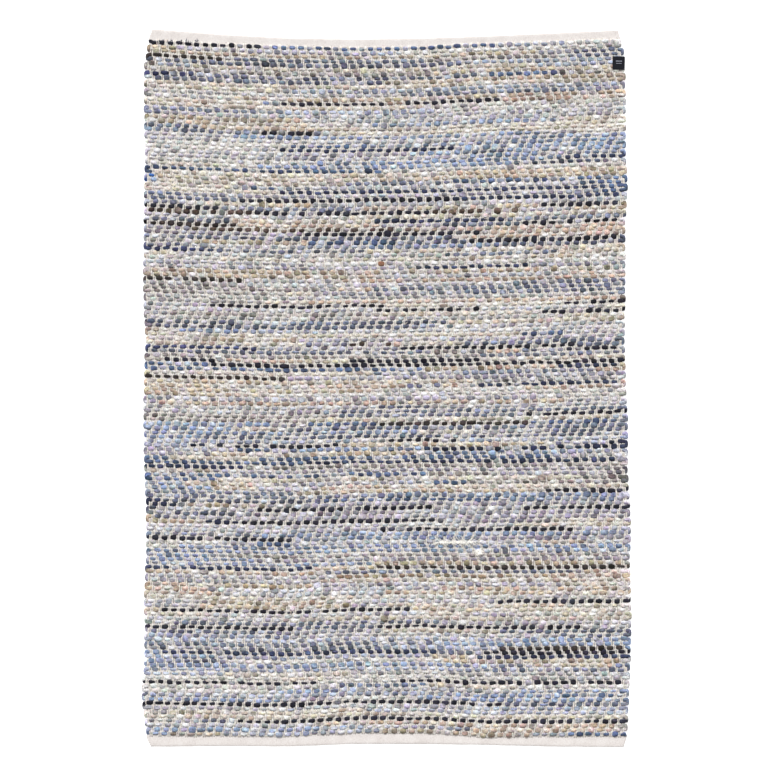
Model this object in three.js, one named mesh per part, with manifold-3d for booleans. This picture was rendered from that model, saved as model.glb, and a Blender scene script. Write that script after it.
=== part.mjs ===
// A flat-woven rag rug of cut cotton strips on a cotton warp, lying flat, with a hem at each end
// and a small label folded round one selvedge.
// Millimetres. X runs across the rug, Y along it towards the head end, Z up from the floor.

import * as THREE from "three";
import { mergeVertices } from "three/addons/utils/BufferGeometryUtils.js";
import Module from "manifold-3d";

// Cloth sizes
const ribCount = 163; // passes of weft, each one a raised rib across the rug
const clothThickness = 9; // floor to the crest of a rib
const ribRelief = 1.7; // crest to the groove beside it
const bodyUnevenness = 0.35; // how far crests rise and fall over the rug
const hemThickness = 4;
const hemStep = 2.5; // length of the slope from the body down to a hem
const foldRound = 1.4; // rounding of a hem's folded edge
const cornerStep = 0.7; // rounding of a hem's corners on the floor

// Selvedge sizes
const turnHeight = 4.2; // height at which a turning strip reaches furthest out
const sideRound = 3; // how far the selvedge is drawn in at the top and at the floor
const shoulderDrop = 1.6; // from a crest down to the top of the selvedge
const grooveDepth = 4.5; // notch between two turns
const joinDepth = 0.8; // shallow dip where a strip turns from one pass into the next
const turnUnevenness = 1.1; // how much more or less than that, from one turn to another
const turnPhase = 2.4; // radians from one pass to the next, so that the unevenness doesn't repeat

// Label sizes
const label = {
  reach: 29, // from the fold to the stitched edge on top
  under: 18, // from the fold to the stitched edge below
  height: 33,
  thickness: 1,
  along: 811, // its middle, along Y
  fold: 596, // outside of the fold, along X
  turn: -1.5, // degrees
  round: 2, // of the fold
  gap: 0.3, // to the cloth all round
  clear: 8, // how far outside the fold the selvedge is taken away
};

// The two ends, at shares of the width from the left selvedge to the right one.
// headFold and footFold are where the folded edges lie, and the hems are as wide as they show.
const ends = [
  { across: 0.0, headFold: 897.5, headHem: 27, footFold: -896, footHem: 28 },
  { across: 0.15, headFold: 884, headHem: 23, footFold: -894.5, footHem: 26 },
  { across: 0.29, headFold: 875, headHem: 20, footFold: -895.5, footHem: 25 },
  { across: 0.43, headFold: 872, headHem: 20, footFold: -889.5, footHem: 28 },
  { across: 0.575, headFold: 874, headHem: 20, footFold: -889.5, footHem: 28 },
  { across: 0.715, headFold: 880, headHem: 18, footFold: -892, footHem: 21 },
  { across: 0.86, headFold: 887, headHem: 21, footFold: -896, footHem: 26 },
  { across: 1.0, headFold: 895, headHem: 24, footFold: -897.5, footHem: 28 },
];

// How far out the two selvedges lie, from the head end to the foot end.
const sides = [
  { along: 897, left: -586, right: 577 },
  { along: 872, left: -595, right: 585 },
  { along: 839, left: -601, right: 594 },
  { along: 799, left: -607, right: 597 },
  { along: 679, left: -608, right: 600 },
  { along: 599, left: -605, right: 598 },
  { along: 519, left: -607, right: 604 },
  { along: 399, left: -608, right: 598 },
  { along: 239, left: -610, right: 598 },
  { along: 119, left: -604, right: 596 },
  { along: 0, left: -608, right: 600 },
  { along: -81, left: -609, right: 604 },
  { along: -201, left: -607, right: 604 },
  { along: -281, left: -603, right: 609 },
  { along: -361, left: -602, right: 612 },
  { along: -441, left: -603, right: 609 },
  { along: -521, left: -608, right: 612 },
  { along: -601, left: -606, right: 613 },
  { along: -681, left: -607, right: 610 },
  { along: -761, left: -614, right: 608 },
  { along: -841, left: -605, right: 604 },
  { along: -874, left: -600, right: 600 },
  { along: -898, left: -588, right: 592 },
];

// How far the passes sag towards the foot end, at the left selvedge, a quarter of the way across,
// half way, three quarters and at the right selvedge.
const sags = [
  { along: 880, at: [0, 0, 0, 0, 0] },
  { along: 700, at: [3, 3, 2, -2, -5] },
  { along: 450, at: [3, 2, 0, -1, -4] },
  { along: 250, at: [3, 1, 1, 0, -3] },
  { along: 0, at: [3, 1, 2, -2, -6] },
  { along: -200, at: [3, 2, 0, -3, -3] },
  { along: -400, at: [0, 2, 2, -3, -1] },
  { along: -650, at: [-2, 1, 2, -2, -2] },
  { along: -880, at: [0, 0, 0, 0, 0] },
];

// Slow waves over the rug: how many millimetres make a radian across and along, and the start angle.
const waves = [
  { across: 131, along: 97, start: 0 },
  { across: 61, along: -173, start: 1.3 },
  { across: Infinity, along: 37, start: 4.1 },
];

// The value in a column of a table at a place between its rows.
function read(table, key, column, place) {
  const rising = table[1][key] > table[0][key];
  const after = table.findIndex((row) => (rising ? row[key] >= place : row[key] <= place));
  if (after === 0) return table[0][column];
  if (after < 0) return table[table.length - 1][column];
  const a = table[after - 1];
  const b = table[after];
  return THREE.MathUtils.mapLinear(place, a[key], b[key], a[column], b[column]);
}

// A slow, uneven swell between -1 and 1.
function swell(x, y) {
  const heights = waves.map((wave) => Math.sin(x / wave.across + y / wave.along + wave.start));
  return heights.reduce((sum, height) => sum + height) / waves.length;
}

// How far a pass sags at a share of the width.
function sagAt(share, y) {
  const { clamp, lerp } = THREE.MathUtils;
  const after = sags.findIndex((row) => row.along <= y);
  const below = sags.at(after < 0 ? -1 : after);
  const above = sags.at(after < 0 ? -1 : Math.max(after - 1, 0));
  const down = above === below ? 0 : (above.along - y) / (above.along - below.along);
  const steps = above.at.length - 1;
  const place = clamp(share, 0, 1) * steps;
  const step = Math.min(Math.floor(place), steps - 1);
  const [left, right] = [step, step + 1].map((i) => lerp(above.at[i], below.at[i], down));
  return lerp(left, right, place - step);
}

// The places across the rug where its surface has points, as shares of its width.
const columns = ends.map((row) => row.across);

// A line across the cloth, as a list of points from floor to floor over the top. place tells where
// along Y each share of the width lies, and notches how far each selvedge is drawn in.
function line(place, height, notches = [0, 0]) {
  const left = read(sides, "along", "left", place(0)) + notches[0];
  const right = read(sides, "along", "right", place(1)) - notches[1];
  const drawn = Math.min(sideRound, height / 2);
  const widest = Math.min(turnHeight, height / 2);
  const shoulder = height - Math.min(shoulderDrop, height / 3);
  const top = columns.map((share, i) => {
    const x = THREE.MathUtils.lerp(left + drawn, right - drawn, share);
    const atSide = i === 0 || i === columns.length - 1;
    const lift = height > hemThickness ? bodyUnevenness * swell(x, place(share)) : 0;
    return new THREE.Vector3(x, place(share), atSide ? shoulder : height + lift);
  });
  return [
    new THREE.Vector3(left + drawn, place(0), 0),
    new THREE.Vector3(left, place(0), widest),
    ...top,
    new THREE.Vector3(right, place(1), widest),
    new THREE.Vector3(right - drawn, place(1), 0),
  ];
}

// The two outermost lines of a hem: its folded edge, and where that meets the floor, a little inward.
function foldLines(place) {
  const fold = line(place, hemThickness - foldRound);
  const inward = Math.sign(fold[0].y) * foldRound;
  const floor = fold.map((point, i) => {
    const fromEnd = Math.min(i, fold.length - 1 - i);
    const corner = fold.at(i < fold.length / 2 ? 0 : -1);
    const rounded = corner.x - Math.sign(corner.x) * cornerStep * (fromEnd + 1);
    return new THREE.Vector3(fromEnd < 3 ? rounded : point.x, point.y - inward / 2, 0);
  });
  fold[0].y -= inward * 0.75;
  fold.at(-1).y -= inward * 0.75;
  return [fold, floor];
}

// How far the two selvedges are drawn in at the groove before a pass. A strip turns at the left
// before an even pass and at the right before an odd one, and leaves a notch on the other side.
function notchesBefore(pass) {
  const uneven = turnUnevenness * Math.sin(pass * turnPhase);
  const notched = grooveDepth + uneven;
  const turned = joinDepth - uneven * 0.3;
  return pass % 2 ? [notched, turned] : [turned, notched];
}

// All the lines of the cloth, from the head end's fold to the foot end's fold.
function clothLines() {
  const groove = clothThickness - ribRelief;
  const column = (name) => (share) => read(ends, "across", name, share);
  const [headFold, headHem, footFold, footHem] = ["headFold", "headHem", "footFold", "footHem"].map(column);
  const headBody = (share) => headFold(share) - headHem(share);
  const footBody = (share) => footFold(share) + footHem(share);
  const between = (t) => (share) => {
    const straight = THREE.MathUtils.lerp(headBody(share), footBody(share), t);
    return straight - sagAt(share, straight);
  };

  const body = [line(between(0), groove, notchesBefore(0))];
  for (let pass = 0; pass < ribCount; pass++) {
    const lean = turnUnevenness * Math.cos(pass * turnPhase);
    const leans = [turnUnevenness + lean, turnUnevenness - lean];
    body.push(line(between((pass + 0.5) / ribCount), clothThickness, leans));
    body.push(line(between((pass + 1) / ribCount), groove, notchesBefore(pass + 1)));
  }
  return [
    ...foldLines(headFold).reverse(),
    line((share) => headFold(share) - foldRound, hemThickness),
    line((share) => headBody(share) + hemStep, hemThickness),
    ...body,
    line((share) => footBody(share) - hemStep, hemThickness),
    line((share) => footFold(share) + foldRound, hemThickness),
    ...foldLines(footFold),
  ];
}

// The cloth as a closed geometry: a net over the lines, and one flat face on the floor.
function clothGeometry() {
  const lines = clothLines();
  const points = lines.flat();
  const width = lines[0].length;
  const index = [];
  for (let row = 0; row + 1 < lines.length; row++) {
    for (let i = 0; i + 1 < width; i++) {
      const a = row * width + i;
      const b = a + width;
      const onFloor = points[b].z === 0 && points[a + 1].z === 0; // so the other diagonal is used
      index.push(...(onFloor ? [a, b, b + 1, a, b + 1, a + 1] : [a, b, a + 1, a + 1, b, b + 1]));
    }
  }
  const rows = lines.map((_, row) => row * width);
  const inner = Array.from({ length: width - 2 }, (_, i) => i + 1);
  const outline = [
    ...rows, // down the left selvedge
    ...inner.map((i) => rows.at(-1) + i), // across the foot end
    ...rows.map((row) => row + width - 1).reverse(), // up the right selvedge
    ...inner.toReversed(), // back across the head end
  ];
  const flat = outline.map((at) => new THREE.Vector2(points[at].x, points[at].y));
  for (const [a, b, c] of THREE.ShapeUtils.triangulateShape(flat, [])) {
    index.push(outline[c], outline[b], outline[a]);
  }
  return new THREE.BufferGeometry().setFromPoints(points).setIndex(index);
}

// The label's strip folded round the selvedge, with its fold at x = 0. grow makes it thicker all
// round, and outward thickens the fold away from the cloth.
function labelGeometry(grow, outward = 0) {
  const { reach, under, height, thickness } = label;
  const inside = clothThickness + bodyUnevenness + label.gap; // height of the upper leaf's underside
  const over = inside + thickness + grow;
  const inner = -thickness - grow;
  const outer = grow + outward;
  const round = label.round + grow;
  const profile = new THREE.Shape();
  profile.moveTo(-under - grow, -grow);
  profile.lineTo(outer - round, -grow);
  profile.quadraticCurveTo(outer, -grow, outer, round - grow);
  profile.lineTo(outer, over - round);
  profile.quadraticCurveTo(outer, over, outer - round, over);
  profile.lineTo(-reach - grow, over);
  profile.lineTo(-reach - grow, inside - grow);
  profile.lineTo(inner, inside - grow);
  profile.lineTo(inner, thickness + grow);
  profile.lineTo(-under - grow, thickness + grow);
  const length = height + 2 * grow;
  const strip = new THREE.ExtrudeGeometry(profile, { depth: length, bevelEnabled: false, curveSegments: 4 });
  return strip.rotateX(Math.PI / 2).translate(0, length / 2, 0);
}

// Cutting the label's place out of the cloth
const wasm = await Module();
wasm.setup();

function solidOf(geometry) {
  const bare = geometry.clone();
  bare.deleteAttribute("normal");
  bare.deleteAttribute("uv");
  const merged = mergeVertices(bare);
  const vertProperties = merged.attributes.position.array;
  const triVerts = new Uint32Array(merged.index.array);
  return new wasm.Manifold(new wasm.Mesh({ numProp: 3, vertProperties, triVerts }));
}

function geometryOf(solid) {
  const { vertProperties, triVerts } = solid.getMesh();
  const geometry = new THREE.BufferGeometry();
  geometry.setAttribute("position", new THREE.BufferAttribute(vertProperties, 3));
  geometry.setIndex(new THREE.BufferAttribute(triVerts, 1));
  geometry.computeVertexNormals();
  return geometry;
}

const labelMesh = new THREE.Mesh(
  labelGeometry(0),
  new THREE.MeshStandardMaterial({ color: 0x1e2130, roughness: 0.8, metalness: 0 }),
);
labelMesh.name = "woven_label";
labelMesh.position.set(label.fold, label.along, 0);
labelMesh.rotation.z = THREE.MathUtils.degToRad(label.turn);
labelMesh.updateMatrix();

const labelPlace = solidOf(labelGeometry(label.gap, label.clear).applyMatrix4(labelMesh.matrix));
const clothMesh = new THREE.Mesh(
  geometryOf(solidOf(clothGeometry()).subtract(labelPlace)),
  new THREE.MeshStandardMaterial({ color: 0xb3b7c4, roughness: 0.95, metalness: 0 }),
);
clothMesh.name = "rug_cloth";

const rug = new THREE.Group();
rug.add(clothMesh, labelMesh);

export default rug;
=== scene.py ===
import math

import bmesh
import bpy
import numpy as np
from mathutils import Matrix, Vector


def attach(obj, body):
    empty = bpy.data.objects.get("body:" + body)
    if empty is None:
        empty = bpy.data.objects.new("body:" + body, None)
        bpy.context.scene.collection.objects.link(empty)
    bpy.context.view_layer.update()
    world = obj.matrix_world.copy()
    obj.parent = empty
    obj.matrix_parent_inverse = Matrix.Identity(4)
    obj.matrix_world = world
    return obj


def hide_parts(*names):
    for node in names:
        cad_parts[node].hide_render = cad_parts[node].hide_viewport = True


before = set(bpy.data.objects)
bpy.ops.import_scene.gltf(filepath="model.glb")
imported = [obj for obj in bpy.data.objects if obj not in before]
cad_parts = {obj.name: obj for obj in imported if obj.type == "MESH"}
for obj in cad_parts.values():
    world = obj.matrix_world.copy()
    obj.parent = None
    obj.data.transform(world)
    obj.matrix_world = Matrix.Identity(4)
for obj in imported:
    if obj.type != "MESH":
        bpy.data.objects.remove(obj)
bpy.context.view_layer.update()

# A flat-woven rag rug, lying flat: cut cotton strips woven over and under two on cream cotton warps.
# Metres. X runs across the rug, Y along it towards the head end, Z up from the floor.
cloth = {
    "passes": 163,  # of strip, from the head end to the foot end
    "warps": 215,
    "middle": 0.0046,  # height of the cloth's middle plane
    "selvedge": 0.0082,  # from the outline in to the first warp
    "wander": 0.0007,  # how far a pass strays from its line
}
# share of the width, head fold, head hem, foot fold, foot hem
ends = np.array([
    (0.0, 0.8975, 0.027, -0.896, 0.028),
    (0.15, 0.884, 0.023, -0.8945, 0.026),
    (0.29, 0.875, 0.020, -0.8955, 0.025),
    (0.43, 0.872, 0.020, -0.8895, 0.028),
    (0.575, 0.874, 0.020, -0.8895, 0.028),
    (0.715, 0.880, 0.018, -0.892, 0.021),
    (0.86, 0.887, 0.021, -0.896, 0.026),
    (1.0, 0.895, 0.024, -0.8975, 0.028),
])
# along the rug, then how far out the left and the right selvedge lie
sides = np.array([
    (0.897, -0.586, 0.577),
    (0.872, -0.595, 0.585),
    (0.839, -0.601, 0.594),
    (0.799, -0.607, 0.597),
    (0.679, -0.608, 0.600),
    (0.599, -0.605, 0.598),
    (0.519, -0.607, 0.604),
    (0.399, -0.608, 0.598),
    (0.239, -0.610, 0.598),
    (0.119, -0.604, 0.596),
    (0.0, -0.608, 0.600),
    (-0.081, -0.609, 0.604),
    (-0.201, -0.607, 0.604),
    (-0.281, -0.603, 0.609),
    (-0.361, -0.602, 0.612),
    (-0.441, -0.603, 0.609),
    (-0.521, -0.608, 0.612),
    (-0.601, -0.606, 0.613),
    (-0.681, -0.607, 0.610),
    (-0.761, -0.614, 0.608),
    (-0.841, -0.605, 0.604),
    (-0.874, -0.600, 0.600),
    (-0.898, -0.588, 0.592),
])
# along the rug, then how many millimetres the passes sag: at the left, a quarter of the way across,
# half way, three quarters and at the right
drifts = np.array([
    (0.88, 0, 0, 0, 0, 0),
    (0.7, 3, 3, 2, -2, -5),
    (0.45, 3, 2, 0, -1, -4),
    (0.25, 3, 1, 1, 0, -3),
    (0.0, 3, 1, 2, -2, -6),
    (-0.2, 3, 2, 0, -3, -3),
    (-0.4, 0, 2, 2, -3, -1),
    (-0.65, -2, 1, 2, -2, -2),
    (-0.88, 0, 0, 0, 0, 0),
])
# passes in each band of the twill; the diagonals run down to the right in the first, then turn
bands = (16, 11, 10, 14, 9, 12, 12, 10, 12, 11, 11, 12, 12, 11)


def endAt(share, column):
    return np.interp(share, ends[:, 0], ends[:, column])


def sideAt(y, column):
    return np.interp(-y, -sides[:, 0], sides[:, column])


def driftAt(share, y):
    columns = [np.interp(-y, -drifts[:, 0], drifts[:, column]) for column in range(1, 6)]
    spread = np.clip(share, 0, 1) * 4
    return sum(column * np.clip(1 - abs(spread - at), 0, 1) for at, column in enumerate(columns)) / 1000


def passY(number, share):
    head = endAt(share, 1) - endAt(share, 2)
    foot = endAt(share, 3) + endAt(share, 4)
    straight = head + (foot - head) * (number + 0.5) / cloth["passes"]
    return straight - driftAt(share, straight)


def warpX(number, place):
    # place counts warps from the left selvedge
    left = sideAt(passY(number, 0.0), 1) + cloth["selvedge"]
    right = sideAt(passY(number, 1.0), 2) - cloth["selvedge"]
    return left + (right - left) * place / cloth["warps"]


# slow waves of the passes: metres to a radian across and along, and the start in radians
passWaves = ((0.061, 0.023, 0.4), (0.137, -0.041, 0.0), (0.029, 0.071, 2.0))


def wander(x, y):
    swing = sum(np.sin(x / across + y / along + start) for across, along, start in passWaves)
    return cloth["wander"] * swing / 2


def twillShifts():
    shifts, now, step = [], 2, -1
    for length in bands:
        for _ in range(length):
            shifts.append(now)
            now += step
        step = -step
    return np.array(shifts)


shifts = twillShifts()
twillWay = np.concatenate([
    np.full(length, 1.0 if band % 2 == 0 else -1.0) for band, length in enumerate(bands)
])


label = {
    "fold": 0.595,  # outside of the fold, along X
    "along": 0.811,  # its middle, along Y
    "reach": 0.031,  # from the fold to the stitched edge on top
    "under": 0.018,  # from the fold to the stitched edge below
    "height": 0.033,
    "turn": math.radians(-1.5),
    "top": 0.01015,  # middle of the upper leaf's thickness
    "low": 0.0005,
    "round": 0.002,  # of the fold
    "thickness": 0.0008,
    "ease": 0.009,  # how far from the label the cloth rises again
    "squash": (0.0013, 0.86),  # height of the pressed cloth: this much, and this share of what it was
    "cover": 0.0095,  # the pressed cloth stays under this
    "clear": 0.0016,  # from the fold in to the cloth
    "bend": (22, 45, 68),  # degrees, of the points round the fold
    # the stitched edge: inward, and above the upper leaf
    "lip": ((0, -0.0001), (0.002, -0.0003), (0.005, 0)),
    "grid": (64, 24),
    "ripple": (0.00012, 0.0018, 0.0023),  # height, and metres to a radian across and along
    "edgeDrop": 0.00025,  # how far the two side edges turn down
    "edgeSteepness": 12,
    "stitchInset": 0.0018,
    "stitchRise": 0.0003,
    "stitchRow": (-0.0147, 0.0155, 0.00327),  # first, end and pitch, along the stitched edge
    "stitchSize": (0.0003, 0.0011, 0.0003),  # half sizes
    # each bar's place along, half its height, and its two ends across
    "bars": ((0.0045, 0.0014, -0.0225, -0.0075), (-0.001, 0.0009, -0.0215, -0.0085)),
    "barPitch": 0.0006,
    "barRise": 0.00045,
    "barHalf": (0.00035, 0.0002),  # half sizes of one stitch of a bar, across and up
}


def settled(places):
    # nothing sinks into the floor, and the label presses the cloth it is folded round
    x, y, z = places.T.copy()
    z = np.maximum(z, 0)
    ease = label["ease"]
    least, share = label["squash"]
    beside = np.clip((label["height"] / 2 + ease - abs(y - label["along"])) / ease, 0, 1)
    pressed = beside * np.clip((x - label["fold"] + label["reach"] + ease) / ease, 0, 1)
    z = z + pressed * (np.minimum(least + share * z, label["cover"]) - z)
    x = np.where(beside >= 1, np.minimum(x, label["fold"] - label["clear"]), x)
    return np.stack([x, y, z], axis=1)


def rolledStrips(name, rings, around, count):
    # count flat strips of faces side by side, each to be rolled into a tube
    bm = bmesh.new()
    bmesh.ops.create_grid(bm, x_segments=rings - 1, y_segments=around, size=1)
    bmesh.ops.scale(bm, vec=((rings - 1) / 2, around / 2, 1), verts=bm.verts)
    bmesh.ops.translate(bm, vec=((rings - 1) / 2, around / 2, 0), verts=bm.verts)
    mesh = bpy.data.meshes.new(name)
    bm.to_mesh(mesh)
    bm.free()
    piece = bpy.data.objects.new(name, mesh)
    bpy.context.scene.collection.objects.link(piece)
    row = piece.modifiers.new("row", "ARRAY")
    row.count = count
    row.use_relative_offset = False
    row.use_constant_offset = True
    row.constant_offset_displace = (0, around + 1, 0)
    bpy.context.view_layer.update()
    done = bpy.data.meshes.new_from_object(piece.evaluated_get(bpy.context.evaluated_depsgraph_get()))
    piece.modifiers.clear()
    piece.data = done
    done.name = name
    bpy.data.meshes.remove(mesh)
    flat = np.empty(len(done.vertices) * 3)
    done.vertices.foreach_get("co", flat)
    flat = np.rint(flat.reshape(-1, 3)).astype(int)
    return piece, flat[:, 0], flat[:, 1] % (around + 1), flat[:, 1] // (around + 1)


def putShape(piece, places):
    piece.data.vertices.foreach_set("co", np.ascontiguousarray(places, dtype=np.float32).ravel())
    piece.data.update()


def putMap(piece, u, round, row=0, rows=1, gap=0.0):
    # for each vertex of the unrolled strips; each tube has a band of the map, with a gap on both sides
    v = (row + gap + (1 - 2 * gap) * round) / rows
    mesh = piece.data
    corners = np.empty(len(mesh.loops), dtype=np.int32)
    mesh.loops.foreach_get("vertex_index", corners)
    layer = mesh.uv_layers.get("OFBake") or mesh.uv_layers.new(name="OFBake")
    layer.uv.foreach_set("vector", np.stack([u[corners], v[corners]], axis=1).astype(np.float32).ravel())


def putColour(piece, name, colours, rims):
    # how near each point is to a cut edge of its strip goes in the alpha
    layer = piece.data.color_attributes.new(name, "FLOAT_COLOR", "POINT")
    full = np.ones((len(colours), 4), dtype=np.float32)
    full[:, :3] = colours
    full[:, 3] = rims
    layer.data.foreach_set("color", full.ravel())


def closeTubes(piece, capSides):
    seamReach = 0.000002
    bm = bmesh.new()
    bm.from_mesh(piece.data)
    bmesh.ops.remove_doubles(bm, verts=bm.verts, dist=seamReach)
    openEdges = [edge for edge in bm.edges if edge.is_boundary]
    bmesh.ops.holes_fill(bm, edges=openEdges, sides=capSides)
    bmesh.ops.recalc_face_normals(bm, faces=bm.faces)
    for face in bm.faces:
        face.smooth = True
    bm.to_mesh(piece.data)
    bm.free()
    piece.data.update()


def asCloth(piece, material):
    # what all the pieces of the woven cloth have in common
    piece.data.materials.append(material)
    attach(piece, "root")
    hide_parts("rug_cloth")


# Materials
def linear(red, green, blue):
    # from a screen's 0 to 255 to the renderer's own scale
    shade = np.array((red, green, blue)) / 255
    return np.where(shade <= 0.04045, shade / 12.92, ((shade + 0.055) / 1.055) ** 2.4)


class Wire:
    # one output of a material's node; sums of wires add Math nodes
    def __init__(self, tree, socket=None):
        self.tree = tree
        self.socket = socket

    def add(self, kind, settings=None, values=None, out=0):
        made = self.tree.nodes.new(kind)
        for name, value in (settings or {}).items():
            if name == "stops":
                while len(made.color_ramp.elements) < len(value):
                    made.color_ramp.elements.new(0.5)
                for stop, (at, colour) in zip(made.color_ramp.elements, value):
                    stop.position = at
                    stop.color = (*colour, 1)
            else:
                setattr(made, name, value)
        for name, value in (values or {}).items():
            if isinstance(value, Wire):
                self.tree.links.new(value.socket, made.inputs[name])
            else:
                made.inputs[name].default_value = value
        return Wire(self.tree, made.outputs[out])

    def maths(self, operation, first, second=0.0):
        return self.add("ShaderNodeMath", {"operation": operation}, {0: first, 1: second})

    def __add__(self, other):
        return self.maths("ADD", self, other)

    def __radd__(self, other):
        return self.maths("ADD", other, self)

    def __sub__(self, other):
        return self.maths("SUBTRACT", self, other)

    def __rsub__(self, other):
        return self.maths("SUBTRACT", other, self)

    def __mul__(self, other):
        return self.maths("MULTIPLY", self, other)

    def __rmul__(self, other):
        return self.maths("MULTIPLY", other, self)

    def mixed(self, other, share, blend="MIX"):
        return self.add(
            "ShaderNodeMix", {"data_type": "RGBA", "blend_type": blend},
            {0: share, 6: self, 7: other}, out=2,
        )


def newMaterial(name, roughness, gloss=0.25):
    material = bpy.data.materials.new(name)
    material.use_nodes = True
    shader = material.node_tree.nodes["Principled BSDF"]
    shader.inputs["Roughness"].default_value = roughness
    shader.inputs["Specular IOR Level"].default_value = gloss
    return material, shader, Wire(material.node_tree)


def noise(wire, place, scale, detail, rough=0.5, out=0):
    return wire.add(
        "ShaderNodeTexNoise", {},
        {"Vector": place, "Scale": scale, "Detail": detail, "Roughness": rough}, out=out,
    )


def ramp(wire, stops, factor):
    return wire.add("ShaderNodeValToRGB", {"stops": stops}, {"Fac": factor})


def screenStops(stops):
    return tuple((at, tuple(linear(*shade))) for at, shade in stops)


def relief(wire, strength, distance, height):
    return wire.add("ShaderNodeBump", {}, {"Strength": strength, "Distance": distance, "Height": height})


def plug(material, wire, socket):
    material.node_tree.links.new(wire.socket, socket)


ragFinish = {
    "roughness": 0.92,
    "slub": 380,  # scales of the noises, in cycles to a metre
    "fibre": 1500,
    "tints": 260,
    "tintShare": 0.5,
    "speckle": ((0.34, (0.5, 0.5, 0.52)), (0.5, (0.98, 0.98, 0.98)), (0.66, (1.32, 1.3, 1.27))),
    "speckleShare": 0.9,
    "raggedFrom": ((0.6, (0, 0, 0)), (0.95, (1, 1, 1))),  # how near to a cut edge it frays
    "raggedDepth": 0.5,
    "frayed": (0.6, 0.575, 0.57, 1),
    "frayedShares": (0.62, 0.8),  # of its colour, and over the strip's
    "relief": (0.6, 0.0006),  # strength and metres
}


def ragMaterial():
    finish = ragFinish
    material, shader, wire = newMaterial("cutCottonStrip", finish["roughness"])
    place = wire.add("ShaderNodeTexCoord", out=3)
    strip = {"attribute_name": "stripColour"}
    colour = wire.add("ShaderNodeAttribute", strip)
    rim = wire.add("ShaderNodeAttribute", strip, out=3)
    slub = noise(wire, place, finish["slub"], 3, 0.6)
    fibre = noise(wire, place, finish["fibre"], 2)
    tints = noise(wire, place, finish["tints"], 2, out=1)
    speckle = ramp(wire, finish["speckle"], slub)
    body = colour.mixed(speckle, finish["speckleShare"], "MULTIPLY")
    body = body.mixed(tints, finish["tintShare"], "SOFT_LIGHT")
    # the cut edges fray to pale fibres; on the head side this pale fray also stands as a painted highlight
    depth = finish["raggedDepth"]
    ragged = ramp(wire, finish["raggedFrom"], rim + fibre * depth - depth / 2)
    ofColour, overStrip = finish["frayedShares"]
    frayed = colour.mixed(finish["frayed"], ofColour)
    plug(material, body.mixed(frayed, ragged * overStrip), shader.inputs["Base Color"])
    plug(material, relief(wire, *finish["relief"], slub * 0.7 + fibre * 0.3), shader.inputs["Normal"])
    return material


warpFinish = {
    "roughness": 0.9,
    "slub": 170,  # scales of the noises, in cycles to a metre
    "fibre": 1300,
    "tints": 130,
    "tintShare": 0.45,
    "tones": ((0.36, (196, 190, 184)), (0.5, (234, 226, 217)), (0.64, (246, 243, 237))),
    "paintedCrestShade": ((0.3, (1, 1, 1)), (0.9, (0.74, 0.74, 0.74))),  # painted shade, darker where a warp crosses the crest of a pass
    "relief": (0.7, 0.0006),
}


def warpMaterial():
    finish = warpFinish
    material, shader, wire = newMaterial("creamWarp", finish["roughness"])
    place = wire.add("ShaderNodeTexCoord", out=3)
    along = wire.add("ShaderNodeSeparateXYZ", {}, {0: wire.add("ShaderNodeUVMap", {"uv_map": "OFBake"})})
    # painted shade along a warp: it is palest where two passes meet, between two rings of its mesh, and
    # painted darker at each pass's crest
    crest = along.maths("COSINE", along * (2 * math.pi * (cloth["passes"] + 1)))
    slub = noise(wire, place, finish["slub"], 3, 0.6)
    fibre = noise(wire, place, finish["fibre"], 2)
    tone = ramp(wire, screenStops(finish["tones"]), slub)
    # painted shade: the warp darkened at the crest of each pass
    paintedCrestShade = ramp(wire, finish["paintedCrestShade"], crest * 0.5 + 0.5)
    tints = noise(wire, place, finish["tints"], 2, out=1)
    cream = tone.mixed(tints, finish["tintShare"], "SOFT_LIGHT")
    plug(material, cream.mixed(paintedCrestShade, 1.0, "MULTIPLY"), shader.inputs["Base Color"])
    plug(material, relief(wire, *finish["relief"], slub * 0.5 + fibre * 0.5), shader.inputs["Normal"])
    return material


# The strips' colours
shades = {
    "ink": (40, 40, 50), "brownBlack": (56, 50, 49), "navy": (55, 61, 84), "indigo": (66, 71, 103),
    "royal": (52, 82, 146), "denim": (94, 110, 142), "slate": (108, 113, 132),
    "steel": (131, 137, 158), "sky": (152, 167, 198), "paleBlue": (182, 189, 211), "mist": (205, 205, 215),
    "lilac": (184, 180, 196), "mauve": (146, 140, 152), "dove": (184, 183, 186), "stone": (160, 153, 152),
    "white": (231, 229, 228), "cream": (227, 214, 198), "sand": (206, 188, 168), "tan": (186, 166, 141),
    "peach": (214, 189, 173), "rust": (168, 122, 96), "brown": (92, 78, 72), "bleached": (252, 249, 242),
}
palette = {name: linear(*shade) for name, shade in shades.items()}

mixes = {
    "blue": "sky sky sky paleBlue paleBlue paleBlue mist mist lilac lilac denim steel slate white cream sand",
    "deepBlue": (
        "denim denim sky sky sky steel slate slate paleBlue paleBlue lilac lilac mist cream sand navy"
    ),
    "pale": "mist mist mist white white cream cream cream paleBlue lilac sand sand peach steel sky dove",
    "grey": "dove lilac lilac steel mist mist stone cream cream sand paleBlue mauve peach slate sky denim",
    "beige": "cream cream cream sand sand sand peach peach lilac mist mist stone tan tan steel slate",
    "dusk": "slate slate steel steel mauve stone denim cream cream lilac sand sand peach brown navy mist",
}
# the stripes from the head end to the foot end: how many passes, and the mix that they are woven from
stripes = (
    (4, "blue"), (5, "grey"), (10, "pale"), (11, "blue"), (3, "pale"), (3, "deepBlue"), (7, "dusk"),
    (6, "grey"), (3, "pale"), (4, "grey"), (3, "beige"), (5, "grey"), (4, "deepBlue"), (10, "dusk"),
    (6, "pale"), (7, "grey"), (7, "deepBlue"), (5, "grey"), (4, "pale"), (5, "dusk"), (6, "blue"),
    (6, "grey"), (5, "beige"),
    (8, "pale"), (10, "blue"), (6, "pale"), (4, "blue"), (3, "beige"), (3, "blue"),
)
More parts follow.
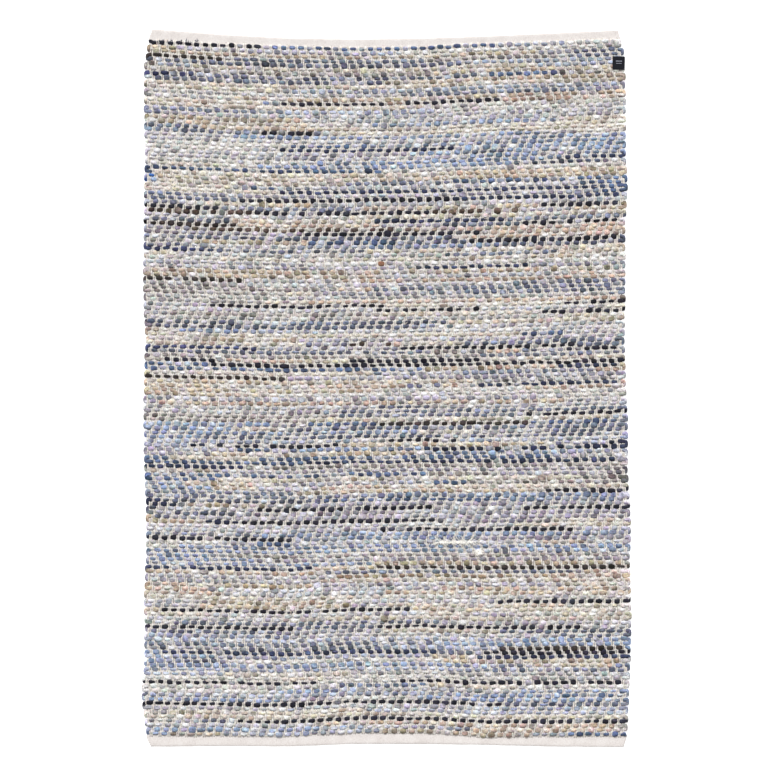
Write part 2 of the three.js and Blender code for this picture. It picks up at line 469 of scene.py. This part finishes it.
# the boldest strips, listed one by one: the pass, from and to which share of the width, the colour
boldStrips = (
    (0, 0.0, 0.25, "ink"),
    (3, 0.0, 0.15, "brownBlack"),
    (7, 0.0, 0.1, "indigo"),
    (13, 0.3, 0.5, "ink"),
    (13, 0.55, 0.75, "ink"),
    (20, 0.25, 0.35, "ink"),
    (24, 0.3, 0.65, "navy"),
    (27, 0.9, 1.0, "navy"),
    (31, 0.0, 0.02, "royal"),
    (32, 0.0, 0.02, "royal"),
    (34, 0.3, 0.95, "navy"),
    (36, 0.2, 0.65, "ink"),
    (36, 0.65, 1.0, "navy"),
    (38, 0.0, 0.15, "ink"),
    (38, 0.85, 1.0, "ink"),
    (39, 0.25, 0.6, "ink"),
    (41, 0.5, 0.75, "navy"),
    (42, 0.0, 0.2, "brownBlack"),
    (42, 0.8, 1.0, "ink"),
    (44, 0.35, 0.7, "ink"),
    (46, 0.7, 1.0, "ink"),
    (48, 0.0, 0.15, "indigo"),
    (51, 0.5, 0.5, "rust"),
    (52, 0.6, 0.8, "navy"),
    (55, 0.0, 0.2, "brownBlack"),
    (61, 0.15, 0.5, "ink"),
    (61, 0.9, 1.0, "ink"),
    (62, 0.5, 0.7, "ink"),
    (63, 0.85, 1.0, "ink"),
    (71, 0.0, 0.25, "indigo"),
    (71, 0.55, 0.9, "ink"),
    (72, 0.88, 1.0, "ink"),
    (74, 0.05, 0.15, "ink"),
    (74, 0.45, 0.7, "ink"),
    (75, 0.15, 1.0, "ink"),
    (76, 0.88, 1.0, "navy"),
    (78, 0.0, 0.3, "brownBlack"),
    (80, 0.7, 1.0, "navy"),
    (87, 0.8, 1.0, "ink"),
    (89, 0.5, 0.8, "brownBlack"),
    (94, 0.15, 0.4, "ink"),
    (93, 0.5, 0.65, "ink"),
    (98, 0.35, 1.0, "navy"),
    (99, 0.0, 0.2, "navy"),
    (105, 0.85, 1.0, "ink"),
    (109, 0.25, 0.6, "ink"),
    (109, 0.8, 1.0, "ink"),
    (112, 0.2, 0.6, "ink"),
    (114, 0.5, 0.9, "ink"),
    (116, 0.0, 0.3, "ink"),
    (123, 0.0, 0.35, "navy"),
    (123, 0.5, 1.0, "brownBlack"),
    (131, 0.75, 1.0, "ink"),
    (133, 0.05, 0.55, "ink"),
    (137, 0.0, 0.3, "ink"),
    (137, 0.5, 0.9, "ink"),
    (142, 0.75, 1.0, "brownBlack"),
    (143, 0.05, 0.6, "navy"),
    (143, 0.72, 1.0, "ink"),
    (144, 0.7, 1.0, "navy"),
    (150, 0.0, 0.35, "ink"),
    (150, 0.55, 1.0, "ink"),
    (155, 0.0, 0.75, "ink"),
    (159, 0.2, 1.0, "ink"),
)

wefts = {
    "rise": 0.0021,  # of a float over the middle plane
    "halfWidth": 0.0051,
    "halfHeight": 0.0025,
    "lean": 0.85,  # radians, of the strip where it dives between two warps
    "turnReach": 0.0030,
    "turnHalfWidth": 0.0046,
    "turnHalfHeight": 0.003,
    "uneven": 0.17,
    "foldTones": (0.28, 0.24),  # how the folds of a float differ, at one place and all along it
    "slant": 0.0004,  # how far the ends of a float lean along the twill
    "stray": 0.0009,  # of a float from its pass
    "slide": 0.12,  # of a float along its pass, in warps
    "twist": 0.3,  # radians
    "fatness": (0.82, 1.18),  # of one strip against another
    "runLengths": (0.08, 1.1),  # of one strip in the weave, where the short ones are commoner
    "floatLength": 0.022,  # of a strip, used up by one float
    "tones": (0.6, 0.86),  # the strips of one shade differ by this
    "boldReach": 0.009,  # share of the width that a bold strip may start early or end late
    "backShares": (0.22, 0.06),  # how many floats show the paler back: of the other strips, of the bold ones
    "backBlend": (0.45, 0.5),  # of the strip's colour, and of mist
    "floatTone": 0.26,  # how the floats of a strip differ, in brightness and in hue
    "floatHue": 0.045,
    "colourSeed": 7,
    "shapeSeed": 11,
    "lastWarp": 0.7,  # how near to the first and the last warp a float may end, in warps
    "turnInset": 0.0005,
    "turnWaves": ((0.0006, 700), (0.0005, 2300)),  # metres, and radians to a metre
    "turnShape": (0.45, 0.6),  # how square a turn is, outward and along
    "turnSettle": 0.5,
    "turnRim": 0.4,
    "mapGap": 0.05,
    "pieces": ((0, 55), (55, 109), (109, 163)),
    "pieceNames": ("wovenStripsHead", "wovenStripsMiddle", "wovenStripsFoot"),
}
beadCount = 56  # repeats of four warps across the cloth, each one float over two and one dive under two
repeatRings = 5  # of a repeat: three over and two under
turnRings = 4  # beyond the first and the last repeat
stripSides = 6
# along a repeat: place in warps, level, width, height, slope and slant
beadPlace = np.array((-0.98, 0.0, 0.98, 1.3, 2.7))
beadLevel = np.array((0.8, 1.08, 0.8, -0.95, -0.95))
beadWidth = np.array((0.92, 1.1, 0.92, 0.9, 0.9))
beadHeight = np.array((0.92, 1.0, 0.92, 1.0, 1.0))
beadSlope = np.array((1.0, 0.0, -1.0, -1.0, 1.0))
beadSlant = np.array((1.0, 0.0, -1.0, -0.5, 0.5))
# round a strip from the head side over the top: painted light and shade, the head side lighter and the foot
# side and underside darker as if lit from the head end; the edge towards the head end frays most, its pale
# fray also a painted highlight
paintedSideLight = np.array((1.2, 1.06, 0.98, 0.78, 0.86, 0.94, 1.2))
sideFrayAndHighlight = np.array((1.0, 0.0, 0.0, 0.3, 0.0, 0.0, 1.0))


def beadStart(number):
    return (3 - shifts[number]) % 4 - 4


def stripColours():
    # the weft is one long chain of strips, laid to and fro, so a strip goes on round its turn
    rng = np.random.default_rng(wefts["colourSeed"])
    passes = cloth["passes"]
    colours = np.zeros((passes, beadCount, 3))
    fatness = np.ones((passes, beadCount))
    stripeOf = [name for count, name in stripes for _ in range(count)]
    left, now, fat = 0.0, None, 1.0
    for number in range(passes):
        near = min(passes - 1, max(0, number + rng.integers(-1, 2)))
        names = mixes[stripeOf[near]].split()
        order = range(beadCount) if number % 2 == 0 else range(beadCount - 1, -1, -1)
        for bead in order:
            if left <= 0:
                low, high = wefts["runLengths"]
                left = low + (high - low) * rng.random() ** 2
                now = palette[rng.choice(names)] * rng.uniform(*wefts["tones"])
                fat = rng.uniform(*wefts["fatness"])
            left -= wefts["floatLength"]
            colours[number, bead] = now
            fatness[number, bead] = fat
    bold = np.zeros((passes, beadCount), dtype=bool)
    for number, start, end, name in boldStrips:
        middle = (beadStart(number) + 4.0 * np.arange(beadCount) + 2) / cloth["warps"]
        inside = (middle > start - wefts["boldReach"]) & (middle < end + wefts["boldReach"])
        colours[number, inside] = palette[name]
        bold[number, inside] = True
    # each float shows another fold of its strip
    passesBeads = (passes, beadCount, 1)
    usual, onBold = wefts["backShares"]
    own, mist = wefts["backBlend"]
    back = rng.random(passesBeads) < np.where(bold, onBold, usual)[:, :, None]
    colours = np.where(back, colours * own + palette["mist"] * mist, colours)
    brighter = np.exp(rng.normal(0, wefts["floatTone"], passesBeads))
    tinted = np.exp(rng.normal(0, wefts["floatHue"], (passes, beadCount, 3)))
    return np.clip(colours * brighter * tinted, 0.004, 0.85), fatness


def shapeWefts(piece, ring, side, number, colours, fatness):
    rng = np.random.default_rng(wefts["shapeSeed"])
    passes = cloth["passes"]
    size = (passes, beadCount + 2)
    wider = np.exp(rng.normal(0, wefts["uneven"], size))
    higher = np.exp(rng.normal(0, wefts["uneven"], size))
    stray = rng.normal(0, wefts["stray"], size)
    longer = np.exp(rng.normal(0, wefts["uneven"], size))
    twist = rng.normal(0, wefts["twist"], size)
    slide = rng.normal(0, wefts["slide"], size)
    # folds: each side of a float has its own tone, and so has each part along it
    atPlace, allAlong = wefts["foldTones"]
    folds = rng.normal(0, atPlace, (*size, repeatRings, stripSides + 1))
    folds = np.exp(folds + rng.normal(0, allAlong, (*size, 1, stripSides + 1)))
    folds[:, :, :, stripSides] = folds[:, :, :, 0]

    body = ring - turnRings
    lastBody = beadCount * repeatRings - 1
    start = beadStart(number)

    def placeOf(index):
        return start + 4.0 * (index // repeatRings) + beadPlace[index % repeatRings]

    # rings that would fall outside the warps slide onto the last one inside
    allBody = np.arange(lastBody + 1)
    along = 4.0 * (allBody // repeatRings)[None, :]
    table = beadStart(np.arange(passes))[:, None] + along + beadPlace[allBody % repeatRings][None, :]
    inside = (table > wefts["lastWarp"]) & (table < cloth["warps"] - wefts["lastWarp"])
    firstIn = np.argmax(inside, axis=1)
    lastIn = lastBody - np.argmax(inside[:, ::-1], axis=1)
    held = np.clip(body, firstIn[number], lastIn[number])
    bead, step = held // repeatRings, held % repeatRings
    place = placeOf(held)
    onTop = step < 3
    place = place + np.where(onTop, (longer[number, bead] - 1) * beadPlace[step] + slide[number, bead], 0)
    share = place / cloth["warps"]
    x = warpX(number, place)
    y = passY(number, share)
    y = y + wander(x, y)
    z = wefts["rise"] * beadLevel[step]
    fat = fatness[number, bead]
    halfWidth = wefts["halfWidth"] * beadWidth[step] * wider[number, bead] * fat
    halfHeight = wefts["halfHeight"] * beadHeight[step] * higher[number, bead] * np.sqrt(fat)
    y = y + stray[number, bead] * onTop + wefts["slant"] * beadSlant[step] * twillWay[number]
    slope = beadSlope[step] * wefts["lean"]
    turned = twist[number, bead]
    acrossX, acrossY = np.zeros_like(x), np.ones_like(x)

    # the turns at both selvedges: even passes turn down at the right and come from above at the left
    even = number % 2 == 0
    for atRight in (False, True):
        here = body > lastBody if atRight else body < 0
        order = (body - lastBody - 1) if atRight else (turnRings - 1 - ring)
        angle = np.radians(90.0 / (turnRings - 1) * np.clip(order, 0, turnRings - 1))
        outward = np.sin(angle) ** wefts["turnShape"][0]
        along = np.cos(angle) ** wefts["turnShape"][1]
        down = even if atRight else ~even
        way = np.where(down, -1.0, 1.0)
        partner = number - way
        endShare = 1.0 if atRight else 0.0
        own = passY(number, endShare)
        middle = (own + passY(partner, endShare)) / 2
        out = 1.0 if atRight else -1.0
        column = 2 if atRight else 1
        edge = sideAt(middle, column)
        uneven = sum(high * np.sin(middle * rate) for high, rate in wefts["turnWaves"])
        inset = wefts["turnHalfWidth"] + wefts["turnReach"] + wefts["turnInset"] + uneven
        base = edge - out * inset
        x = np.where(here, base + out * wefts["turnReach"] * outward, x)
        y = np.where(here, middle + (own - middle) * along, y)
        z = np.where(here, wefts["turnSettle"] * z * np.cos(angle), z)
        halfWidth = np.where(here, wefts["turnHalfWidth"], halfWidth)
        halfHeight = np.where(here, wefts["turnHalfHeight"], halfHeight)
        slope = np.where(here, 0.0, slope)
        turned = np.where(here, 0.0, turned)
        acrossX = np.where(here, -out * way * np.sin(angle), acrossX)
        acrossY = np.where(here, np.cos(angle), acrossY)

    around = np.radians(360.0 / stripSides) * side + turned
    wide, high = halfWidth * np.cos(around), halfHeight * np.sin(around)
    places = np.stack([
        x + acrossX * wide - np.sin(slope) * high,
        y + acrossY * wide,
        cloth["middle"] + z + np.cos(slope) * high,
    ], axis=1)
    putShape(piece, settled(places))
    shade = colours[number, bead] * folds[number, bead, step, side][:, None]
    # painted light and shade: each side of the strip made lighter or darker as if lit from the head end
    shade = shade * paintedSideLight[side][:, None]
    # pale fray at the cut edges, strongest on the head side, where it is also a painted highlight
    rims = sideFrayAndHighlight[side] * np.where((body < 0) | (body > lastBody), wefts["turnRim"], 1.0)
    putColour(piece, "stripColour", np.clip(shade, 0.003, 0.9), rims)


def makeWefts(material):
    colours, fatness = stripColours()
    made = []
    rings = beadCount * repeatRings + 2 * turnRings
    for name, (first, last) in zip(wefts["pieceNames"], wefts["pieces"]):
        piece, ring, side, row = rolledStrips(name, rings, stripSides, last - first)
        putMap(piece, ring / (rings - 1), side / stripSides, row, last - first, wefts["mapGap"])
        shapeWefts(piece, ring, side, row + first, colours, fatness)
        closeTubes(piece, stripSides)
        asCloth(piece, material)
        made.append(piece)
        print("strips", name, len(piece.data.polygons), "faces")
    return made


# The warps
warps = {
    "rise": 0.0010,
    "halfWidth": 0.0022,
    "tuckedHalfWidth": 0.0017,
    "halfHeight": 0.0009,
    "around": 4,
    "close": 0.06,  # how far the two of a pair draw together, in warps
    "uneven": 0.08,
    "tipDrop": 0.0022,  # how far the two ends dip under the hems
    "seed": 23,
    "mapGap": 0.08,
    "pieces": ((0, 108), (108, 215)),
    "pieceNames": ("warpsLeft", "warpsRight"),
}


def makeWarps(material):
    made = []
    rings, around = cloth["passes"] + 2, warps["around"]
    rng = np.random.default_rng(warps["seed"])
    size = (cloth["warps"], rings)
    wider = np.exp(rng.normal(0, warps["uneven"], size))
    for name, (first, last) in zip(warps["pieceNames"], warps["pieces"]):
        piece, ring, side, row = rolledStrips(name, rings, around, last - first)
        putMap(piece, ring / (rings - 1), side / around, row, last - first, warps["mapGap"])
        thread = row + first
        number = np.clip(ring - 1, 0, cloth["passes"] - 1)
        phase = (thread + shifts[number]) % 4
        over = (phase < 2) & (ring > 0) & (ring < rings - 1)
        lean = np.where(phase == 0, warps["close"], np.where(phase == 1, -warps["close"], 0))
        place = thread + 0.5 + lean
        x = warpX(number, place)
        share = place / cloth["warps"]
        y = passY(ring - 1.0, share)
        y = y + wander(x, y)
        z = np.where(over, warps["rise"], -warps["rise"])
        tip = (ring == 0) | (ring == rings - 1)
        z = np.where(tip, -warps["tipDrop"], z)
        halfWidth = np.where(over, warps["halfWidth"], warps["tuckedHalfWidth"]) * wider[thread, ring]
        corner = np.radians(360.0 / around * (side + 0.5))
        places = np.stack([
            x + np.sqrt(2) * halfWidth * np.cos(corner),
            y,
            cloth["middle"] + z + np.sqrt(2) * warps["halfHeight"] * np.sin(corner),
        ], axis=1)
        putShape(piece, settled(places))
        closeTubes(piece, around)
        asCloth(piece, material)
        made.append(piece)
        print("warps", name, len(piece.data.polygons), "faces")
    return made


# The hems: thin cream cotton woven on the same warps, turned under and stitched
hems = {
    "columns": 860,
    # shares of the hem's width from the fold, then extra metres, then height
    "profile": (
        (1.0, 0.0025, 0.0008), (0.66, 0, 0.0001), (0.33, 0, 0.0), (0.0, 0.0017, 0.0001),
        (0.0, 0.0004, 0.0010), (0.0, 0.0, 0.0020), (0.0, 0.0004, 0.0030), (0.0, 0.0016, 0.0037),
        (0.17, 0, 0.0040), (0.34, 0, 0.0040), (0.5, 0, 0.0039), (0.66, 0, 0.0038),
        (0.83, 0, 0.0038), (1.0, 0, 0.0041), (1.0, 0.0025, 0.0045),
    ),
    "rib": 0.00016,  # how high the warps stand out under the cotton
    "pucker": 0.00035,  # how high it puckers between its stitches
    "puckerWaves": (0.019, 0.0083, 0.047),  # metres to a radian
    "puckerStarts": (1.5, 4, 0),  # radians
    "upperFrom": 0.003,  # the leaf that shows lies above this
    "grain": 0.00008,  # of the leaf that shows, in height
    "edgeWaves": (0.0005, 0.0002),  # how far the fold strays, with the pucker and with the ribs
    "edgeReach": 0.004,  # from the fold in
    "middle": 0.002,  # of the thickness
    "endHeights": (0.35, 0.8, 1.0),  # shares of the thickness at the first three rings
    "seeds": (31, 37),  # of the head hem and the foot hem
    "threads": (0.00275, 0.0028),  # from one to the next, across and along
}


def makeHem(name, atHead, material):
    profile = np.array(hems["profile"])
    rings, around = hems["columns"] + 1, len(profile)
    piece, ring, side, _ = rolledStrips(name, rings, around, 1)
    putMap(piece, ring / (rings - 1), side / around)
    rng = np.random.default_rng(hems["seeds"][0 if atHead else 1])
    share = ring / (rings - 1)
    way = 1.0 if atHead else -1.0
    fold = endAt(share, 1 if atHead else 3)
    wide = endAt(share, 2 if atHead else 4)
    part, extra, height = profile[side % around].T
    inward = part * wide + extra
    y = fold - way * inward
    left, right = sideAt(y, 1), sideAt(y, 2)
    x = left + (right - left) * share
    rib = np.cos(2 * np.pi * share * cloth["warps"])
    starts = np.array(hems["puckerStarts"]) * (way, 1, 1)
    pucker = sum(np.sin(x / wave + start) for wave, start in zip(hems["puckerWaves"], starts))
    upper = height > hems["upperFrom"]
    z = height + hems["rib"] * rib * upper + hems["pucker"] * pucker / 3 * upper * (part < 1)
    z = z + rng.normal(0, hems["grain"], (rings, around))[ring, side % around] * upper
    byPucker, byRib = hems["edgeWaves"]
    y = y + way * (byPucker * pucker / 3 + byRib * rib) * (inward < hems["edgeReach"])
    # the two ends are rounded
    fromEnd = np.minimum(ring, rings - 1 - ring)
    flat = np.array(hems["endHeights"])[np.minimum(fromEnd, 2)]
    z = hems["middle"] + (z - hems["middle"]) * flat
    putShape(piece, settled(np.stack([x, y, z], axis=1)))
    closeTubes(piece, 0)
    asCloth(piece, material)
    print("hem", name, len(piece.data.polygons), "faces")
    return piece


hemFinish = {
    "roughness": 0.9,
    "mottle": 300,  # scales of the noises, in cycles to a metre
    "soft": 40,
    "tones": ((0.3, (212, 204, 200)), (0.5, (232, 225, 221)), (0.7, (243, 239, 236))),
    "relief": (0.7, 0.0007),
}


def hemMaterial():
    finish = hemFinish
    material, shader, wire = newMaterial("creamHemCotton", finish["roughness"])
    place = wire.add("ShaderNodeTexCoord", out=3)
    across = wire.add("ShaderNodeSeparateXYZ", {}, {0: place})
    along = wire.add("ShaderNodeSeparateXYZ", {}, {0: place}, out=1)
    warp = wire.maths("SINE", across * (2 * math.pi / hems["threads"][0]))
    weft = wire.maths("SINE", along * (2 * math.pi / hems["threads"][1]))
    mottle = noise(wire, place, finish["mottle"], 4, 0.65)
    soft = noise(wire, place, finish["soft"], 2)
    tone = ramp(wire, screenStops(finish["tones"]), mottle * 0.7 + soft * 0.3)
    plug(material, tone, shader.inputs["Base Color"])
    woven = warp * weft * 0.35 + mottle * 0.65
    plug(material, relief(wire, *finish["relief"], woven), shader.inputs["Normal"])
    return material


# Threads that have worked loose and lie on the cloth
loose = {
    "height": 0.0101,
    "radius": 0.0009,
    "rings": 7,
    "around": 4,
    "taper": (1.1, 1.7),  # thickness at the middle, and how much it falls towards the ends
    "lengths": (0.5, 1.3),  # shortest and longest, as shares of a clump's length
    "curl": 1.4,  # radians from end to end
    "mapGap": 0.1,
    "seed": 41,
    # across, along, spread across and along, heading and its spread in degrees, length, how many, colour
    "clumps": (
        (0.170, -0.385, 0.045, 0.0016, -4, 6, 0.05, 40, "bleached"),
        (0.230, -0.410, 0.007, 0.0050, 15, 50, 0.016, 60, "bleached"),
        (-0.530, 0.866, 0.060, 0.0030, 80, 30, 0.008, 26, "navy"),
        (0.0, 0.0, 0.550, 0.8200, 0, 60, 0.017, 70, "cream"),
    ),
}


def makeLooseThreads(material):
    rng = np.random.default_rng(loose["seed"])
    clumps = loose["clumps"]
    counts = [clump[7] for clump in clumps]
    rings, around = loose["rings"], loose["around"]
    piece, ring, side, row = rolledStrips("looseThreads", rings, around, sum(counts))
    spread = np.repeat([clump[:7] for clump in clumps], counts, axis=0).T
    x, y, spreadX, spreadY, heading, swing, length = spread
    colour = np.repeat([palette[clump[8]] for clump in clumps], counts, axis=0)
    x = x + spreadX * rng.uniform(-1, 1, len(x))
    y = y + spreadY * rng.uniform(-1, 1, len(x))
    heading = np.radians(heading + rng.normal(0, swing))
    length = length * rng.uniform(*loose["lengths"], len(x))
    curl = rng.normal(0, loose["curl"], len(x))
    along = ring / (rings - 1) - 0.5
    angle = heading[row] + curl[row] * along
    thickest, fall = loose["taper"]
    radius = loose["radius"] * (thickest - fall * abs(along))
    corner = np.radians(360 / around * side)
    places = np.stack([
        x[row] + length[row] * along * np.cos(angle) - np.sin(angle) * radius * np.cos(corner),
        y[row] + length[row] * along * np.sin(angle) + np.cos(angle) * radius * np.cos(corner),
        loose["height"] + radius * (1 + np.sin(corner)),
    ], axis=1)
    putShape(piece, settled(places))
    putMap(piece, ring / (rings - 1), side / around, row, sum(counts), loose["mapGap"])
    putColour(piece, "stripColour", colour[row], np.zeros(len(row)))
    closeTubes(piece, around)
    asCloth(piece, material)
    print("loose threads", len(piece.data.polygons), "faces")
    return piece


# The label, folded round the right selvedge
def labelled(place):
    # from the label's own place, its fold at 0, to the rug
    turn = Matrix.Rotation(label["turn"], 4, "Z")
    return Matrix.Translation((label["fold"], label["along"], 0)) @ turn @ Vector(place)


def makeLabel(material, threadMaterial, barMaterial):
    corner = label["round"]
    outside = -label["thickness"] / 2
    bend = [
        (outside - corner + corner * math.sin(angle), corner - corner * math.cos(angle))
        for angle in np.radians(label["bend"])
    ]
    path = [(-label["reach"] + inward, label["top"] + lift) for inward, lift in label["lip"]]
    path += [(outside - corner, label["top"])]
    path += [(x, label["top"] - drop) for x, drop in bend]
    path += [(outside, label["top"] - corner), (outside, label["low"] + corner)]
    path += [(x, label["low"] + drop) for x, drop in reversed(bend)]
    path += [(outside - corner, label["low"]), (-label["under"], label["low"])]
    path = np.array(path)
    steps = np.concatenate([[0], np.cumsum(np.hypot(*np.diff(path, axis=0).T))])
    ripple, rippleX, rippleY = label["ripple"]
    bm = bmesh.new()
    bmesh.ops.create_grid(bm, x_segments=label["grid"][0], y_segments=label["grid"][1], size=0.5)
    for vert in bm.verts:
        at = (vert.co.x + 0.5) * steps[-1]
        x, z = np.interp(at, steps, path[:, 0]), np.interp(at, steps, path[:, 1])
        y = -vert.co.y * label["height"]
        onTop = z > label["top"] - label["thickness"]
        z += onTop * ripple * math.sin(x / rippleX) * math.sin(y / rippleY + 1)
        edge = min(1, (0.5 - abs(vert.co.y)) * label["edgeSteepness"])
        z -= onTop * label["edgeDrop"] * (1 - edge)
        vert.co = labelled((x, y, z))
    mesh = bpy.data.meshes.new("labelTape")
    bmesh.ops.recalc_face_normals(bm, faces=bm.faces)
    for face in bm.faces:
        face.smooth = True
    bm.to_mesh(mesh)
    bm.free()
    tape = bpy.data.objects.new("labelTape", mesh)
    bpy.context.scene.collection.objects.link(tape)
    shell = tape.modifiers.new("thickness", "SOLIDIFY")
    shell.thickness = label["thickness"]
    shell.offset = 0
    mesh.materials.append(material)

    stitches = joinedStitches("labelStitches", [
        ((-label["reach"] + label["stitchInset"], y, label["top"] + label["stitchRise"]), label["stitchSize"])
        for y in np.arange(*label["stitchRow"])
    ], threadMaterial)
    wide, thick = label["barHalf"]
    bars = joinedStitches("labelBars", [
        ((x, y, label["top"] + label["barRise"]), (wide, high, thick))
        for y, high, first, last in label["bars"]
        for x in np.arange(first, last, label["barPitch"])
    ], barMaterial)
    for piece in (tape, stitches, bars):
        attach(piece, "root")
        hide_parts("woven_label")
    print("label done")


def joinedStitches(name, places, material):
    bm = bmesh.new()
    for at, size in places:
        made = bmesh.ops.create_icosphere(bm, subdivisions=1, radius=1)["verts"]
        bmesh.ops.scale(bm, vec=size, verts=made)
        bmesh.ops.translate(bm, vec=at, verts=made)
    for vert in bm.verts:
        vert.co = labelled(vert.co)
    for face in bm.faces:
        face.smooth = True
    mesh = bpy.data.meshes.new(name)
    bm.to_mesh(mesh)
    bm.free()
    mesh.materials.append(material)
    piece = bpy.data.objects.new(name, mesh)
    bpy.context.scene.collection.objects.link(piece)
    return piece


tapeFinish = {
    "roughness": 0.75,
    "ribs": 700,  # scale of the wave, and how far it bends
    "ribBend": 0.6,
    "stops": (0.35, 0.65),  # of the noise, for the darker and the lighter tone
    "relief": (0.4, 0.0003),
}
# the darker and the lighter tone, and the scale of the noise in cycles to a metre
tapes = {
    "darkTape": ((9, 10, 17), (23, 25, 37), 900),
    "darkThread": ((22, 24, 36), (44, 47, 64), 1500),
    "paleThread": ((150, 152, 170), (196, 198, 210), 1500),
}


def tapeMaterial(name, dark, light, scale):
    finish = tapeFinish
    material, shader, wire = newMaterial(name, finish["roughness"])
    place = wire.add("ShaderNodeTexCoord", out=3)
    fine = noise(wire, place, scale, 3)
    tone = ramp(wire, screenStops(zip(finish["stops"], (dark, light))), fine)
    plug(material, tone, shader.inputs["Base Color"])
    ribs = wire.add(
        "ShaderNodeTexWave", {"bands_direction": "Y"},
        {"Vector": place, "Scale": finish["ribs"], "Distortion": finish["ribBend"]}, out=1,
    )
    plug(material, relief(wire, *finish["relief"], ribs * 0.6 + fine * 0.4), shader.inputs["Normal"])
    return material


# The room
room = {
    "eye": (-0.004, 0.0075, 7.0),
    "view": 1.925,  # width seen at the rug
    "floor": 30.0,
    "floorDrop": 0.0002,
    "floorTone": 0.94,
    "floorGlow": 0.55,
    "sky": 0.46,
    "window": 2.9,
    "windowAngle": 14,  # degrees, so that its shadows are soft
    "windowWay": (0.15, -1.0, -1.0),
    "sensor": 36,
    "farthest": 100,
}


def makeRoom():
    bm = bmesh.new()
    bmesh.ops.create_grid(bm, x_segments=1, y_segments=1, size=room["floor"])
    mesh = bpy.data.meshes.new("floor")
    bm.to_mesh(mesh)
    bm.free()
    floor = bpy.data.objects.new("floor", mesh)
    bpy.context.scene.collection.objects.link(floor)
    floor.location.z = -room["floorDrop"]
    material, shader, wire = newMaterial("paleFloor", 0.9)
    shader.inputs["Base Color"].default_value = (*[room["floorTone"]] * 3, 1)
    shader.inputs["Emission Color"].default_value = (1, 1, 1, 1)
    shader.inputs["Emission Strength"].default_value = room["floorGlow"]
    mesh.materials.append(material)

    eye = bpy.data.cameras.new("camera")
    eye.sensor_width = room["sensor"]
    eye.lens = room["sensor"] * room["eye"][2] / room["view"]
    eye.clip_end = room["farthest"]
    camera = bpy.data.objects.new("camera", eye)
    camera.location = room["eye"]
    bpy.context.scene.collection.objects.link(camera)
    bpy.context.scene.camera = camera

    world = bpy.data.worlds.new("room")
    world.use_nodes = True
    sky = world.node_tree.nodes["Background"]
    sky.inputs["Color"].default_value = (1, 1, 1, 1)
    sky.inputs["Strength"].default_value = room["sky"]
    bpy.context.scene.world = world

    lamp = bpy.data.lights.new("window", "SUN")
    lamp.energy = room["window"]
    lamp.angle = math.radians(room["windowAngle"])
    key = bpy.data.objects.new("window", lamp)
    key.rotation_euler = Vector(room["windowWay"]).to_track_quat("-Z", "Y").to_euler()
    bpy.context.scene.collection.objects.link(key)
    bpy.context.scene.view_settings.view_transform = "Standard"


makeRoom()
print("room done")
ragMat = ragMaterial()
warpMat = warpMaterial()
weftPieces = makeWefts(ragMat)
warpPieces = makeWarps(warpMat)
hemMat = hemMaterial()
headHem = makeHem("headHem", True, hemMat)
footHem = makeHem("footHem", False, hemMat)
makeLabel(*[tapeMaterial(name, *tones) for name, tones in tapes.items()])
looseThreads = makeLooseThreads(ragMat)
